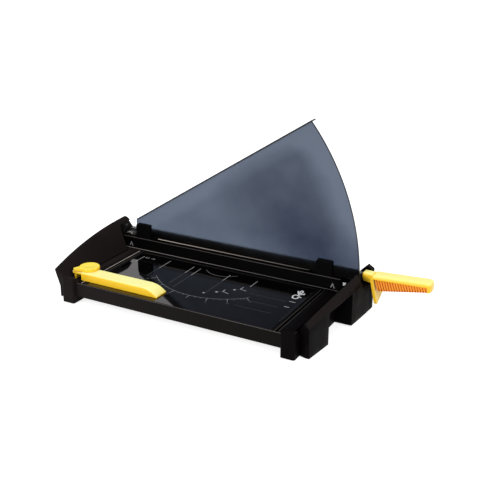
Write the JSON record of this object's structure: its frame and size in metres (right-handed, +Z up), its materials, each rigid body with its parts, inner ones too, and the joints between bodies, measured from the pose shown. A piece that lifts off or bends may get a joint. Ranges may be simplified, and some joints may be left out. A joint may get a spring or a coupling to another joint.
{
  "type": "paper guillotine",
  "caption": "Desktop paper guillotine with a glossy black bed, smoked fan guard on a sprung clamp bar, hinged blade arm with yellow handle and a sliding yellow paper stop.",
  "frame": {"origin": "middle of the underside of the overall box, on the table", "axes": "+X along the blade from the pivot to the handle, +Y away from the user, +Z up"},
  "size_m": [0.5264, 0.2176, 0.2733],
  "materials": {
    "cap_plastic": "fine grained satin black moulding",
    "apron_plastic": "smooth satin black",
    "bed_gloss": "high-gloss black with light grey print",
    "dark_steel": "black powder coat",
    "track_black": "black anodised extrusion",
    "clamp_black": "black anodised extrusion with bright edges",
    "clip_plastic": "satin black",
    "cover_plastic": "satin black",
    "smoked_guard": "clear smoked blue-grey sheet",
    "rubber": "black rubber",
    "grey_rubber": "grey rubber",
    "yellow_plastic": "semi-gloss yellow moulding",
    "orange_grip": "ribbed orange soft grip",
    "bronze": "sintered bronze",
    "bracket_steel": "bare pressed steel",
    "blade_steel": "ground steel",
    "arm_steel": "bare flat bar",
    "screw_steel": "zinc-plated steel"
  },
  "bodies": {
    "base": {"left_end_cap": "cap_plastic", "right_end_cap": "cap_plastic", "left_cap_floor": "cap_plastic", "right_cap_floor": "cap_plastic", "floor_screws": "screw_steel", "rubber_feet": "rubber", "cap_screws": "screw_steel", "front_apron": "apron_plastic", "bed_deck": "dark_steel", "bed_plate": "bed_gloss", "rear_beam": "dark_steel", "bed_braces": "dark_steel", "left_track": "track_black", "right_track": "track_black", "fixed_blade": "blade_steel", "fixed_blade_screws": "screw_steel", "pivot_bracket": "bracket_steel", "bracket_screws": "screw_steel", "pivot_bolt": "screw_steel", "pivot_washer": "screw_steel", "pivot_spacer": "screw_steel", "spring_washer": "screw_steel", "pivot_nut": "screw_steel", "clamp_posts": "screw_steel", "clamp_springs": "screw_steel", "arm_bumper": "rubber"},
    "clamp": {"clamp_bar": "clamp_black", "clamp_pad": "grey_rubber", "blade_guard": "smoked_guard", "guard_clip_left": "clip_plastic", "guard_clip_right": "clip_plastic", "clip_plates": "clip_plastic", "clip_screws": "screw_steel"},
    "arm": {"arm_bar": "arm_steel", "moving_blade": "blade_steel", "blade_screws": "screw_steel", "arm_cover": "cover_plastic", "cover_screws": "screw_steel", "pivot_bush": "bronze", "handle_shell": "yellow_plastic", "handle_grip": "orange_grip", "handle_screws": "screw_steel"},
    "stop": {"stop_bar": "yellow_plastic"},
    "stop_knob": {"stop_knob": "yellow_plastic", "stop_screw": "screw_steel"}
  },
  "joints": [
    {"name": "arm_swing", "type": "hinge", "parent": "base", "child": "arm", "pos_m": [-0.23675, 0.07523, 0.048], "axis": [0, -1, 0], "range_deg": [0, 30]},
    {"name": "clamp_press", "type": "slide", "parent": "base", "child": "clamp", "axis": [0, 0, 1], "range_m": [-0.0014, 0], "stiffness_N_per_m": 1800, "springref_m": 0.004, "deforming": ["clamp_springs"]},
    {"name": "stop_slide", "type": "slide", "parent": "base", "child": "stop", "axis": [0, 1, 0], "range_m": [-0.008, 0.096]},
    {"name": "stop_knob_turn", "type": "hinge", "parent": "stop", "child": "stop_knob", "pos_m": [-0.20275, -0.07277, 0.0438], "axis": [0, 0, 1], "range_deg": [-38, 52]}
  ]
}
